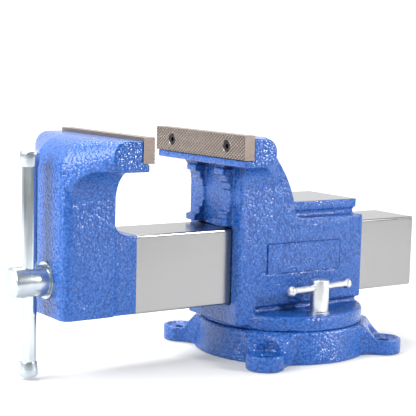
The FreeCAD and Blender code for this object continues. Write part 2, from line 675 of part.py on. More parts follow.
def jaw_plate(label, back, front, head_side):
    """A plate between x = -back and x = -front, its screw heads sunk from head_side."""
    low, high = (front, back) if head_side == "-" else (back, front)
    body = new_body(label)
    pad(body, "plate", rectangle(
        body, "plate_end", "YZ", ("-jaw_width / 2", PLATE_LOW), ("jaw_width / 2", "jaw_top"),
        lift=f"-{low}"), "plate_thick")
    places = [(f"{sign}screw_pitch_y / 2", PLATE_MID) for sign in ("", "-")]
    pocket(body, "shank_holes", circles(body, "shank_plan", "YZ", [
        (y, z, "plate_screw_rad + clear_small") for y, z in places
    ], lift=f"-{low} - 1"), "plate_thick + 2")
    sunk = "plate_head_sunk + plate_head_high"
    lift = f"-{low} - 1" if head_side == "-" else f"-{high} - ({sunk})"
    pocket(body, "head_holes", circles(body, "head_plan", "YZ", [
        (y, z, "plate_head_rad + clear_small") for y, z in places
    ], lift=lift), f"{sunk} + 1")
    return body


def hexagon(body, name, flats, lift):
    """A hexagonal outline in the body's XY plane."""
    corners = [
        (f"({flats}) / sqrt(3) * cos({60 * number})", f"({flats}) / sqrt(3) * sin({60 * number})")
        for number in range(6)
    ]
    return outline(body, name, "XY", corners, lift=lift)


def socket_screw(label, x, y, z, turn, head_rad, head_high, rad, length, key):
    """A socket head screw, its head's top at the body's origin and its shank along its Z."""
    body = new_body(label, x, y, z, turn)
    turned(body, "screw", [
        ("0", "0"), (f"{head_rad} - 0.8", "0"), (head_rad, "0.8"), (head_rad, head_high),
        (rad, head_high), (rad, f"{head_high} + {length} - 1"),
        (f"{rad} - 1", f"{head_high} + {length}"), ("0", f"{head_high} + {length}"),
    ], "Z")
    pocket(body, "socket", hexagon(body, "socket_plan", key, "-1"), f"{head_high} / 2 + 1")
    return body


def group(label, members):
    """Identical fasteners kept together as one node."""
    compound = doc.addObject("Part::Compound", label)
    compound.Label = label
    compound.Links = members
    doc.recompute()
    return compound


def plate_screws(label, head_x, turn):
    return group(label, [
        socket_screw(
            f"{label}_{number}", head_x, f"{sign}screw_pitch_y / 2", PLATE_MID, turn,
            "plate_head_rad", "plate_head_high", "plate_screw_rad",
            "plate_thick - plate_head_sunk - plate_head_high + plate_screw_deep - 2", "plate_key",
        )
        for number, sign in ((1, "-"), (2, ""))
    ])


def ring(label, x, y, z, turn, inner, outer, thick):
    """A washer or collar, from the body's origin up along its Z."""
    body = new_body(label, x, y, z, turn)
    turned(body, "ring", [
        (inner, "0"), (outer, "0"), (outer, thick), (inner, thick),
    ], "Z")
    return body


def main_screw():
    body = new_body("main_screw", z="screw_high")
    turned(body, "screw", [
        (f"-{HUB_FRONT}", "0"), (f"-{HUB_FRONT}", "hub_turn_rad - hub_edge"),
        (f"-{HUB_FRONT} + hub_edge", "hub_turn_rad"), (f"-{HUB_BACK}", "hub_turn_rad"),
        (f"-{HUB_BACK}", "screw_rad"), ("screw_rear - 3", "screw_rad"),
        ("screw_rear", "screw_rad - 3"), ("screw_rear", "0"),
    ], "X")
    pocket(body, "handle_hole", circles(body, "handle_hole_plan", "XY", [
        ("-handle_x", "0", "handle_rad + cross_fit"),
    ]), "4 * hub_turn_rad", both=True)
    pocket(body, "pin_hole", circles(body, "pin_hole_plan", "XY", [
        (f"-{KEEP_MID}", "0", "pin_rad"),
    ]), "4 * hub_turn_rad", both=True)
    return body


def retaining_collar():
    body = ring("retaining_collar", f"-{KEEP_BACK}", "0", "screw_high", ALONG_X,
                "screw_rad + running_fit", KEEP_RAD, "keep_long")
    pocket(body, "pin_hole", circles(body, "pin_hole_plan", "YZ", [
        ("0", "keep_long / 2", "pin_rad"),
    ]), f"4 * {KEEP_RAD}", both=True)
    return body


def opening_spring():
    """A coil spring round the screw, as long as the space it is fitted in."""
    rise = "(spring_long - 2 * spring_wire_rad - 2 * clear_small)"
    helix = doc.addObject("Part::Helix", "spring_line")
    bind(helix, "Pitch", f"{rise} / spring_turns")
    bind(helix, "Height", rise)
    bind(helix, "Radius", "spring_coil_rad")
    wire = doc.addObject("Part::Circle", "spring_wire")
    bind(wire, "Radius", "spring_wire_rad")
    bind(wire, "Placement.Base.x", "spring_coil_rad")
    wire.Placement.Rotation = Rotation(Vector(1, 0, 0), 90)
    coil = doc.addObject("Part::Sweep", "opening_spring")
    coil.Label = "opening_spring"
    coil.Sections = [wire]
    coil.Spine = (helix, ["Edge1"])
    coil.Solid = True
    coil.Frenet = True
    coil.Placement = FreeCAD.Placement(Vector(), ALONG_X)
    bind(coil, "Placement.Base.x", f"-{WALL_BACK} + spring_wire_rad + clear_small")
    bind(coil, "Placement.Base.z", "screw_high")
    doc.recompute()
    return coil


def collar_pin():
    body = new_body("collar_pin", f"-{KEEP_MID}", "0", "screw_high")
    half = f"({KEEP_RAD} - 0.5)"
    turned(body, "pin", [
        ("0", f"-{half}"), ("pin_rad - 0.5", f"-{half}"), ("pin_rad", f"-{half} + 0.5"),
        ("pin_rad", f"{half} - 0.5"), ("pin_rad - 0.5", half), ("0", half),
    ], "Z")
    return body


def spindle_nut():
    body = new_body("spindle_nut")
    foot = "(bar_low - slide_fit)"
    pad(body, "block", rectangle(
        body, "block_plan", "XY", ("-nut_front", f"-{NUT_HALF}"), ("nut_rear", NUT_HALF),
        lift=foot), f"nut_top - {foot}")
    soften(body, "block_edges", "Chamfer", "hub_edge", [
        ("0", f"{sign}{NUT_HALF}", "nut_top") for sign in ("", "-")
    ])
    pocket(body, "thread", circles(body, "thread_end", "YZ", [
        ("0", "screw_high", "screw_rad + running_fit"),
    ], lift="-nut_front - 1"), "nut_front + nut_rear + 2")
    pocket(body, "bolt_thread", circles(body, "bolt_thread_plan", "XY", [
        ("0", "0", "nut_bolt_rad + running_fit"),
    ], lift=f"{foot} - 1"), f"nut_bolt_top - {foot} + 2")
    return body


def nut_bolt():
    head = "(nut_bolt_seat - nut_wash_thick - nut_bolt_head_high)"
    return socket_screw("nut_bolt", "0", "0", head, None, "nut_bolt_head_rad",
                        "nut_bolt_head_high", "nut_bolt_rad",
                        f"nut_bolt_top - {head} - nut_bolt_head_high", "nut_bolt_key")


def handle_bar():
    body = new_body("handle_bar", "-handle_x")
    low, high = "(handle_low + cap_wall)", "(handle_high - cap_wall)"
    turned(body, "bar", [
        ("0", low), ("handle_rad - 1", low), ("handle_rad", f"{low} + 1"),
        ("handle_rad", f"{high} - 1"), ("handle_rad - 1", high), ("0", high),
    ], "Z")
    return body


def handle_cap(label, z, turn):
    """A barrel cap, its outer end at z and its mouth along the body's Z."""
    body = new_body(label, "-handle_x", "0", z, turn)
    turned(body, "cap", [
        ("0", "0"), (f"{CAP_RAD} - cap_round", "0", "cap_round", True),
        (CAP_RAD, "cap_round"), (CAP_RAD, "cap_long - cap_taper"),
        ("handle_rad + cap_lip", "cap_long"), ("handle_rad", "cap_long"),
        ("handle_rad", "cap_wall"), ("0", "cap_wall"),
    ], "Z")
    return body


def lock_bolt(label, side):
    turn = Rotation(Vector(0, 0, 1), value("tommy_turn"))
    body = new_body(label, "-lock_x", f"{side}lock_y", "0", turn)
    turned(body, "bolt", [
        ("0", "lock_low"), ("lock_shank_rad - 1", "lock_low"),
        ("lock_shank_rad", "lock_low + 1"), ("lock_shank_rad", LOCK_FOOT),
        ("lock_hub_rad", LOCK_FOOT), ("lock_hub_rad", f"{LOCK_FOOT} + lock_hub_high - 0.8"),
        ("lock_hub_rad - 0.8", f"{LOCK_FOOT} + lock_hub_high"),
        ("0", f"{LOCK_FOOT} + lock_hub_high"),
    ], "Z")
    pocket(body, "bar_hole", circles(body, "bar_hole_end", "YZ", [
        ("0", f"{LOCK_FOOT} + lock_hole_high", "tommy_rad + cross_fit"),
    ]), "4 * lock_hub_rad", both=True)
    return body


def lock_bar(label, side):
    turn = Rotation(Vector(0, 0, 1), value("tommy_turn"))
    body = new_body(label, "-lock_x", f"{side}lock_y", f"{LOCK_FOOT} + lock_hole_high", turn)
    end, inner = "tommy_half", "(tommy_half - tommy_end_long)"
    turned(body, "bar", [
        (f"-{end}", "0"), (f"-{end}", "tommy_end_rad - 2.5"),
        (f"-{end} + 2.5", "tommy_end_rad"), (f"-{inner} - 1.5", "tommy_end_rad"),
        (f"-{inner}", "tommy_rad"), (inner, "tommy_rad"), (f"{inner} + 1.5", "tommy_end_rad"),
        (f"{end} - 2.5", "tommy_end_rad"), (end, "tommy_end_rad - 2.5"), (end, "0"),
    ], "X")
    return body


def lock_nut(label, side):
    lean = math.degrees(math.atan(value("lock_x") / value("lock_y")))
    turn = Rotation(Vector(0, 0, 1), -lean if side == "-" else lean)
    body = new_body(label, "-lock_x", f"{side}lock_y", "0", turn)
    pad(body, "tee", rectangle(
        body, "tee_plan", "XY", ("-nut_along", "-nut_radial"), ("nut_along", "nut_radial"),
        lift="nut_low"), "ledge_low - nut_gap - nut_low")
    pad(body, "neck", rectangle(
        body, "neck_plan", "XY", ("-neck_along", "-neck_radial"), ("neck_along", "neck_radial"),
        lift="nut_low"), "neck_top - nut_low")
    pocket(body, "thread", circles(body, "thread_plan", "XY", [
        ("0", "0", "lock_shank_rad + running_fit"),
    ], lift="nut_low - 1"), "neck_top - nut_low + 2")
    return body


def build_all():
    """Every sub-part, in the order in which the vise goes together."""
    pieces = [
        swivel_base(), vise_body(), moving_jaw(),
        jaw_plate("static_jaw_plate", STATIC_BACK, "static_plate_face", "-"),
        jaw_plate("moving_jaw_plate", MOVING_BACK, MOVING_FACE, "+"),
        plate_screws("static_plate_screws", "-static_plate_face + plate_head_sunk", ALONG_X),
        plate_screws("moving_plate_screws", f"-{MOVING_FACE} - plate_head_sunk", AGAINST_X),
        main_screw(),
        ring("thrust_washer", f"-{SLAB_OUT} - thrust_thick", "0", "screw_high", ALONG_X,
             "screw_rad + clear_small", "thrust_rad", "thrust_thick"),
        opening_spring(),
        ring("spring_washer", f"-{SPRING_END}", "0", "screw_high", ALONG_X,
             "screw_rad + clear_small", KEEP_WASH_RAD, "keep_wash_thick"),
        retaining_collar(), collar_pin(), spindle_nut(), nut_bolt(),
        ring("nut_bolt_washer", "0", "0", "nut_bolt_seat - nut_wash_thick", None,
             "nut_bolt_rad + clear_small", "nut_wash_rad", "nut_wash_thick"),
        handle_bar(),
        handle_cap("handle_cap_lower", "handle_low", None),
        handle_cap("handle_cap_upper", "handle_high", Rotation(Vector(1, 0, 0), 180)),
    ]
    for name, side in (("near", "-"), ("far", "")):
        pieces.append(lock_bolt(f"lock_bolt_{name}", side))
        pieces.append(ring(f"lock_washer_{name}", "-lock_x", f"{side}lock_y", "table_top", None,
                           "lock_shank_rad + clear_small", "lock_wash_rad", "lock_wash_thick"))
        pieces.append(lock_bar(f"lock_bar_{name}", side))
        pieces.append(lock_nut(f"lock_nut_{name}", side))
    return pieces


def main():
    pieces = build_all()
    doc.recompute()
    for item in doc.Objects:
        if "Invalid" in item.State or "Error" in item.State:
            raise RuntimeError(f"{item.Label} failed: {item.State}")
    for piece in pieces:
        if piece.Shape.isNull() or not piece.Shape.isValid():
            raise RuntimeError(f"{piece.Label} has no valid shape")
    os.makedirs("parts", exist_ok=True)
    for piece in pieces:
        piece.Shape.exportStep(f"parts/{piece.Label}.step")
        volume = round(piece.Shape.Volume / 1000, 2)
        print(piece.Label, len(piece.Shape.Solids), "solids", volume, "cm3")


main()
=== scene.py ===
"""Looks of the bench vise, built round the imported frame. Metres; +X along the slide bar, +Z up."""
import json
import math

import bmesh
import bpy
from mathutils import Matrix, Vector
from mathutils.bvhtree import BVHTree


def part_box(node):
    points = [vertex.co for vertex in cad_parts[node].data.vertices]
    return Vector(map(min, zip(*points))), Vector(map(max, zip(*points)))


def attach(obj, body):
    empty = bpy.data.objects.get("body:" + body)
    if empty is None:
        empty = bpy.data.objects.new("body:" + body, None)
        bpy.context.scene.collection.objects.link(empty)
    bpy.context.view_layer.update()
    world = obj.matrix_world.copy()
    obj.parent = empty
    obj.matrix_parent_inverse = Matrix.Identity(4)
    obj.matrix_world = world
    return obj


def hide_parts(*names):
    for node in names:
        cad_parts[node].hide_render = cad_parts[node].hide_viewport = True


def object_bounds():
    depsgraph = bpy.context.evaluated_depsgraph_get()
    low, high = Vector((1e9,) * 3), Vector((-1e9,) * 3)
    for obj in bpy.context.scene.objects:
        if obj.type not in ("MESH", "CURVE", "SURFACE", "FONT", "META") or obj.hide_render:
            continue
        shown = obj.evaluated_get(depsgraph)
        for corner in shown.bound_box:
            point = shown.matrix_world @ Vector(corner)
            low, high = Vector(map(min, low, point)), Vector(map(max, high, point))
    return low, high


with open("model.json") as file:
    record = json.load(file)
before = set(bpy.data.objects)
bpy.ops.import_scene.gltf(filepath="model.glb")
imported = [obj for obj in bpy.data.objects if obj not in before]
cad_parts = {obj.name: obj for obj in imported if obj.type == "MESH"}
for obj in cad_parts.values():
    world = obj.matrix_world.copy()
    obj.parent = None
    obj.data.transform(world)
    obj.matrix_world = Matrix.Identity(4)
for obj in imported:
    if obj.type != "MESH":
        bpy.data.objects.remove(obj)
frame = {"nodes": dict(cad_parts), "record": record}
cad_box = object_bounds()
NODES = frame["nodes"]
MM = 0.001


# ---------------------------------------------------------------- camera, floor and lights
def camera():
    heading, pitch, roll = math.radians(34.1223), math.radians(6.9312), math.radians(1.3901)
    ahead = Vector((math.sin(heading) * math.cos(pitch), math.cos(heading) * math.cos(pitch),
                    -math.sin(pitch)))
    right = Vector((math.cos(heading), -math.sin(heading), 0))
    up = right.cross(ahead)
    right, up = (right * math.cos(roll) + up * math.sin(roll),
                 up * math.cos(roll) - right * math.sin(roll))
    data = bpy.data.cameras.new("camera")
    data.sensor_width = 36
    data.lens = 106.604
    eye = bpy.data.objects.new("camera", data)
    bpy.context.collection.objects.link(eye)
    turn = Matrix((right, up, -ahead)).transposed().to_4x4()
    eye.matrix_world = Matrix.Translation((-1.011377, -1.309426, 0.386185)) @ turn
    bpy.context.scene.camera = eye


def softbox(name, place, aim, wide, high, power, colour=(1, 1, 1)):
    data = bpy.data.lights.new(name, "AREA")
    data.shape = "RECTANGLE"
    data.size, data.size_y = wide, high
    data.energy = power
    data.color = colour
    lamp = bpy.data.objects.new(name, data)
    bpy.context.collection.objects.link(lamp)
    lamp.location = place
    lamp.rotation_euler = (Vector(aim) - Vector(place)).to_track_quat("-Z", "Y").to_euler()


def backdrop():
    """A white room that is brighter behind the vise than in front of it."""
    world = bpy.data.worlds.new("studio")
    bpy.context.scene.world = world
    world.use_nodes = True
    nodes, links = world.node_tree.nodes, world.node_tree.links
    way = nodes.new("ShaderNodeTexCoord").outputs["Generated"]
    behind = nodes.new("ShaderNodeVectorMath")
    behind.operation = "DOT_PRODUCT"
    behind.inputs[1].default_value = (0.561, 0.828, 0.0)
    links.new(way, behind.inputs[0])
    level = nodes.new("ShaderNodeMapRange")
    level.interpolation_type = "SMOOTHSTEP"
    for socket, number in (("From Min", -0.5), ("From Max", 0.7), ("To Min", 0.38), ("To Max", 1.1)):
        level.inputs[socket].default_value = number
    links.new(behind.outputs["Value"], level.inputs["Value"])
    links.new(level.outputs["Result"], nodes["Background"].inputs["Strength"])
    nodes["Background"].inputs["Color"].default_value = (1, 1, 1, 1)


def studio():
    bpy.context.scene.view_settings.view_transform = "Standard"
    backdrop()
    centre = (-0.1, 0, 0.15)
    softbox("key", (-2.1, 0.2, 1.5), centre, 2.0, 2.0, 115)
    softbox("side", (1.1, -1.7, 0.95), centre, 0.2, 0.6, 40)
    softbox("top", (0.2, 0.9, 2.2), centre, 1.4, 1.0, 52)
    floor = bpy.data.meshes.new("floor")
    floor.from_pydata([(-9, -9, 0), (9, -9, 0), (9, 9, 0), (-9, 9, 0)], [], [(0, 1, 2, 3)])
    stage = bpy.data.objects.new("floor", floor)
    bpy.context.collection.objects.link(stage)
    stage.location.z = cad_box[0][2] - 0.0005
    pale = Paint("floor_pale", (0.57, 0.57, 0.575), rough=0.7, specular=0.1)
    x, y, _ = pale.axes()
    behind = pale.sum("MULTIPLY_ADD", x, 0.561, pale.sum("MULTIPLY", y, 0.828))
    # Painted shade: the floor's colour darkens towards the camera's side. Painted glow: its emission rises
    # behind the vise, so the floor glows though it is no lamp.
    lit = pale.ramp(behind, -1.3, -0.5)
    far = pale.ramp(behind, 0.5, 3.5, 0.17, 0.80)
    pale.link(pale.mix(lit, (0.26, 0.26, 0.265), (0.57, 0.57, 0.575)), "Base Color")
    pale.set("Emission Color", (1, 1, 1, 1))
    pale.link(pale.sum("MULTIPLY", lit, far), "Emission Strength")
    stage.data.materials.append(pale.material)


# ---------------------------------------------------------------- materials
class Paint:
    """A material and short calls for the nodes that feed its shader."""

    def __init__(self, name, colour, metal=0.0, rough=0.5, specular=0.5, coat=0.0):
        self.material = bpy.data.materials.new(name)
        self.material.use_nodes = True
        self.tree = self.material.node_tree
        self.shader = self.tree.nodes["Principled BSDF"]
        self.set("Base Color", (*colour, 1))
        self.set("Metallic", metal)
        self.set("Roughness", rough)
        self.set("Specular IOR Level", specular)
        self.set("Coat Weight", coat)
        self.set("Coat Roughness", 0.15)
        self.place = self.node("ShaderNodeTexCoord").outputs["Object"]

    def set(self, socket, number):
        self.shader.inputs[socket].default_value = number

    def node(self, kind, inputs=(), **settings):
        node = self.tree.nodes.new(kind)
        for key, setting in settings.items():
            setattr(node, key, setting)
        for socket, source in dict(inputs).items():
            if isinstance(source, bpy.types.NodeSocket):
                self.tree.links.new(source, node.inputs[socket])
            else:
                node.inputs[socket].default_value = source
        return node

    def link(self, source, socket):
        self.tree.links.new(source, self.shader.inputs[socket])

    def sum(self, kind, a, b=0.0, c=0.0):
        return self.node("ShaderNodeMath", {0: a, 1: b, 2: c}, operation=kind).outputs[0]

    def stretch(self, x, y, z):
        return self.node("ShaderNodeMapping", {"Vector": self.place, "Scale": (x, y, z)}).outputs[0]

    def noise(self, scale, detail=3.0, rough=0.5, place=None):
        return self.node("ShaderNodeTexNoise", {
            "Vector": place or self.place, "Scale": scale, "Detail": detail, "Roughness": rough,
        }).outputs["Fac"]

    def pebbles(self, scale, place=None, smooth=0.5):
        return self.node("ShaderNodeTexVoronoi", {
            "Vector": place or self.place, "Scale": scale, "Smoothness": smooth, "Randomness": 1.0,
        }, feature="SMOOTH_F1").outputs["Distance"]

    def ramp(self, source, low, high, a=0.0, b=1.0):
        return self.node("ShaderNodeMapRange", {
            "Value": source, "From Min": low, "From Max": high, "To Min": a, "To Max": b,
        }).outputs["Result"]

    def mix(self, share, a, b):
        node = self.node("ShaderNodeMix", data_type="RGBA")
        for index, source in ((0, share), (6, a), (7, b)):
            if isinstance(source, bpy.types.NodeSocket):
                self.tree.links.new(source, node.inputs[index])
            else:
                node.inputs[index].default_value = source if index == 0 else (*source, 1)
        return node.outputs[2]

    def bump(self, height, depth, after=None, strength=1.0):
        inputs = {"Height": height, "Distance": depth, "Strength": strength}
        if after:
            inputs["Normal"] = after
        return self.node("ShaderNodeBump", inputs).outputs["Normal"]

    def axes(self, source=None):
        parts = self.node("ShaderNodeSeparateXYZ", {"Vector": source or self.place}).outputs
        return parts["X"], parts["Y"], parts["Z"]


# The second and third enamel colours are painted shade for the pebble valleys and a painted highlight for
# the pebble crowns.
BLUE, PAINTED_VALLEY_SHADE, PAINTED_CROWN_LIGHT = (0.012, 0.088, 0.36), (0.008, 0.055, 0.24), (0.030, 0.130, 0.45)
BARE_BAR, BARE_ANVIL = (0.32, 0.32, 0.32), (0.33, 0.335, 0.36)
PLATE = (0.232, 0.193, 0.17)
SERRATION, SERRATION_DEEP = 0.0052, 0.0007
ROD = 0.0042
PLAQUE_LOW, PLAQUE_HIGH = (-0.0685, 0.111), (0.0505, 0.150)


def hammered(name, bare=None, bright=BARE_BAR):
    """Hammered enamel with a painted highlight on the pebble crowns and painted shade in the valleys.
    bare(paint) gives 1 where the casting is machined bright instead.
    """
    paint = Paint(name, BLUE, rough=0.2, specular=0.55)
    bumps = paint.pebbles(310, smooth=0.15)
    height = paint.sum("MULTIPLY_ADD", paint.noise(600, 2), 0.35, bumps)
    crowns = paint.ramp(height, 0.42, 0.70)
    valleys = paint.ramp(height, 0.70, 0.95)
    patches = paint.ramp(paint.noise(30, 4), 0.4, 0.7)
    # Painted highlight: pebble crowns are coloured lighter. Painted shade: the valleys between pebbles are
    # coloured darker.
    colour = paint.mix(crowns, PAINTED_CROWN_LIGHT, BLUE)
    colour = paint.mix(valleys, colour, PAINTED_VALLEY_SHADE)
    colour = paint.mix(paint.sum("MULTIPLY", patches, 0.35), colour, BLUE)
    normal = paint.bump(height, -0.0008)
    rough = paint.ramp(crowns, 0, 1, 0.10, 0.17)
    if bare is None:
        paint.link(colour, "Base Color")
        paint.link(rough, "Roughness")
        paint.link(normal, "Normal")
        return paint.material
    share = bare(paint)
    streak = paint.noise(1.0, 4, 0.6, paint.stretch(60, 900, 900))
    steel = paint.mix(paint.ramp(streak, 0.3, 0.75), bright, tuple(c * 1.07 for c in bright))
    paint.link(paint.mix(share, colour, steel), "Base Color")
    paint.link(share, "Metallic")
    smooth = paint.ramp(streak, 0, 1, 0.20, 0.28)
    swap = paint.node("ShaderNodeMix", {0: share, 2: rough, 3: smooth}, data_type="FLOAT")
    paint.link(swap.outputs[0], "Roughness")
    marks = paint.bump(streak, 0.000012)
    blend = paint.node("ShaderNodeMix", data_type="VECTOR")
    paint.tree.links.new(share, blend.inputs[0])
    paint.tree.links.new(normal, blend.inputs[4])
    paint.tree.links.new(marks, blend.inputs[5])
    paint.link(blend.outputs[1], "Normal")
    return paint.material


def anvil_bare(paint):
    x, _, z = paint.axes()
    top = paint.sum("MULTIPLY", paint.ramp(z, 0.2024, 0.2027), paint.ramp(z, 0.2034, 0.2031))
    return paint.sum("MULTIPLY", top, paint.ramp(x, -0.03, -0.029))


def bar_bare(paint):
    x = paint.axes()[0]
    return paint.ramp(x, -0.2545, -0.2540)


def steel(name, colour, rough, along=(900, 900, 60), depth=0.00003, metal=0.95, spread=0.12,
          contrast=1.25, groove_shade=None):
    """Worked metal with marks along one way. The groove mask, called with the paint, gives 1 in grooves,
    which are darkened as painted shade.
    """
    paint = Paint(name, colour, metal=metal, rough=rough)
    streak = paint.noise(1.0, 4, 0.6, paint.stretch(*along))
    dirt = paint.ramp(paint.noise(45, 4), 0.35, 0.75)
    lighter = tuple(min(1.0, c * contrast) for c in colour)
    shade = paint.mix(paint.ramp(streak, 0.3, 0.7), colour, lighter)
    shade = paint.mix(paint.sum("MULTIPLY", dirt, 0.25), shade, tuple(c * 0.6 for c in colour))
    if groove_shade:
        # Painted shade: the colour inside the grooves is darkened to a fifth.
        shade = paint.mix(groove_shade(paint), shade, tuple(c * 0.22 for c in colour))
    paint.link(shade, "Base Color")
    paint.link(paint.ramp(streak, 0.2, 0.8, rough - spread / 2, rough + spread / 2), "Roughness")
    paint.link(paint.bump(streak, depth), "Normal")
    return paint.material


# ---------------------------------------------------------------- pieces
def new_piece(name, mesh, body, node, material):
    piece = bpy.data.objects.new(name, mesh)
    bpy.context.collection.objects.link(piece)
    piece.data.materials.clear()
    piece.data.materials.append(material)
    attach(piece, body)
    for item in ([node] if isinstance(node, str) else node or []):
        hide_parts(item)
    return piece


def welded(node):
    """The CAD node's mesh with its split corners joined."""
    bm = bmesh.new()
    bm.from_mesh(NODES[node].data)
    bmesh.ops.remove_doubles(bm, verts=bm.verts, dist=2e-6)
    mesh = bpy.data.meshes.new(node + "_welded")
    bm.to_mesh(mesh)
    bm.free()
    return mesh


def applied(mesh, build):
    """The mesh after modifiers that build(object) adds."""
    scratch = bpy.data.objects.new("scratch", mesh)
    bpy.context.collection.objects.link(scratch)
    build(scratch)
    graph = bpy.context.evaluated_depsgraph_get()
    done = bpy.data.meshes.new_from_object(scratch.evaluated_get(graph))
    bpy.data.objects.remove(scratch)
    return done


def cast(node, voxel, rounds, weight, tidy=None):
    """The CAD casting with rounded edges: weight(point) says how much each spot softens."""
    def remesh(scratch):
        cells = scratch.modifiers.new("cells", "REMESH")
        cells.mode = "VOXEL"
        cells.voxel_size = voxel
        cells.use_smooth_shade = True

    mesh = applied(welded(node), remesh)
    points = [v.co.copy() for v in mesh.vertices]

    def relax(scratch):
        group = scratch.vertex_groups.new(name="soft")
        for number, point in enumerate(points):
            share = weight(point)
            if share > 0:
                group.add([number], share, "REPLACE")
        smooth = scratch.modifiers.new("soft", "SMOOTH")
        smooth.factor = 0.5
        smooth.iterations = rounds
        smooth.vertex_group = "soft"

    mesh = applied(mesh, relax)
    if tidy:
        for v in mesh.vertices:
            tidy(v.co)
    for face in mesh.polygons:
        face.use_smooth = True
    return mesh


def castings():
    low, high = [Vector(c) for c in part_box("vise_body")]
    anvil_top = 0.203

    def body_weight(p):
        if p.z > anvil_top - 0.0035 and -0.02 < p.x:
            return 0.25
        if p.x < low.x + 0.030 and abs(p.y) < 0.044 and 0.172 < p.z < 0.252:
            return 0.1
        return 1.0

    def body_tidy(p):
        if 0.105 < p.z < 0.156 and abs(p.x) < 0.075 and abs(p.y) > 0.0575:
            off = max(PLAQUE_LOW[0] - p.x, p.x - PLAQUE_HIGH[0],
                      PLAQUE_LOW[1] - p.z, p.z - PLAQUE_HIGH[1])
            trench = 0.0016 if abs(off) < 0.0011 else 0.0
            p.y = math.copysign(0.058 - trench, p.y)

    mesh = cast("vise_body", 0.0015, 5, body_weight, body_tidy)
    blue = hammered("enamel_static", anvil_bare, BARE_ANVIL)
    new_piece("static_casting", mesh, "static_jaw", "vise_body", blue)
    side_plaques(blue)

    def jaw_weight(p):
        return min(1.0, max(0.0, (-0.250 - p.x) / 0.006))

    mesh = cast("moving_jaw", 0.0016, 6, jaw_weight)
    new_piece("moving_casting", mesh, "moving_jaw", "moving_jaw",
              hammered("enamel_moving", bar_bare))

    mesh = cast("swivel_base", 0.0016, 6, lambda p: 1.0)
    new_piece("base_casting", mesh, "base", "swivel_base",
              hammered("enamel_base"))


def shell(points, rings, closed=True):
    """A mesh over rings of points; both ends are capped."""
    faces = []
    count = len(points) // rings
    for ring in range(rings - 1):
        for spot in range(count):
            after = (spot + 1) % count
            low, high = ring * count, (ring + 1) * count
            faces.append((low + spot, low + after, high + after, high + spot))
    faces.append(tuple(range(count))[::-1])
    faces.append(tuple((rings - 1) * count + spot for spot in range(count)))
    mesh = bpy.data.meshes.new("shell")
    mesh.from_pydata(points, [], faces)
    return mesh


def lathe(profile, place, axis, segments=64):
    """(along, radius) pairs turned round an axis through place. The sharp profile shows."""
    turn = Vector((0, 0, 1)).rotation_difference(Vector(axis)).to_matrix()
    points = []
    for along, radius in profile:
        for step in range(segments):
            angle = 2 * math.pi * step / segments
            spot = Vector((radius * math.cos(angle), radius * math.sin(angle), along))
            points.append(Vector(place) + turn @ spot)
    mesh = shell(points, len(profile))
    finish_mesh(mesh, 32)
    return mesh


def finish_mesh(mesh, angle):
    """Smooth faces with sharp edges above the angle, in degrees."""
    bm = bmesh.new()
    bm.from_mesh(mesh)
    bmesh.ops.recalc_face_normals(bm, faces=bm.faces)
    for face in bm.faces:
        face.smooth = True
    limit = math.radians(angle)
    for edge in bm.edges:
        edge.smooth = len(edge.link_faces) == 2 and edge.calc_face_angle() < limit
    bm.to_mesh(mesh)
    bm.free()


def rounded(profile, size, steps=4):
    """A profile with its inner corners rounded by size."""
    done = [profile[0]]
    for before, here, after in zip(profile, profile[1:], profile[2:]):
        a, b, c = Vector(before), Vector(here), Vector(after)
        reach = min(size, (a - b).length * 0.45, (c - b).length * 0.45)
        start, end = b + (a - b).normalized() * reach, b + (c - b).normalized() * reach
        for step in range(steps + 1):
            t = step / steps
            done.append(tuple(start * (1 - t) ** 2 + b * 2 * t * (1 - t) + end * t ** 2))
    return done + [profile[-1]]


def cut(mesh, *tools):
    """The mesh less each tool."""
    for tool in tools:
        knife = bpy.data.objects.new("knife", tool)
        bpy.context.collection.objects.link(knife)

        def carve(scratch):
            change = scratch.modifiers.new("cut", "BOOLEAN")
            change.operation = "DIFFERENCE"
            change.solver = "EXACT"
            change.object = knife

        mesh = applied(mesh, carve)
        bpy.data.objects.remove(knife)
    return mesh


def joined(*meshes):
    bm = bmesh.new()
    for mesh in meshes:
        bm.from_mesh(mesh)
    whole = bpy.data.meshes.new("joined")
    bm.to_mesh(whole)
    bm.free()
    return whole


def middle(node):
    low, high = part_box(node)
    return (Vector(low) + Vector(high)) / 2


def handle(looks):
    low, high = [Vector(c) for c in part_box("handle_bar")]
    centre = middle("handle_bar")
    radius = (high.x - low.x) / 2
    bar = rounded([(low.z, 0.0005), (low.z, radius), (high.z, radius), (high.z, 0.0005)], 0.0015)
    new_piece("handle_rod", lathe(bar, (centre.x, centre.y, 0), (0, 0, 1), 96), "handle",
              "handle_bar", looks["handle_plated"])
    for node, way in (("handle_cap_lower", -1), ("handle_cap_upper", 1)):
        low, high = [Vector(c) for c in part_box(node)]
        wide, long = (high.x - low.x) / 2, high.z - low.z
        tip = high.z if way > 0 else low.z
        shape = rounded([
            (0.0, 0.0004), (0.0, wide - 0.0014), (-0.0022, wide - 0.0001), (-long * 0.4, wide),
            (-long * 0.72, wide - 0.0008), (-long + 0.0008, radius + 0.0009),
            (-long, radius + 0.0003), (-long, radius - 0.0006),
        ], 0.0030)
        shape = [(along * way, across) for along, across in shape]
        new_piece(node.replace("cap", "ferrule"),
                  lathe(shape, (centre.x, centre.y, tip), (0, 0, 1), 96), "handle",
                  node, looks["bright_plated"])


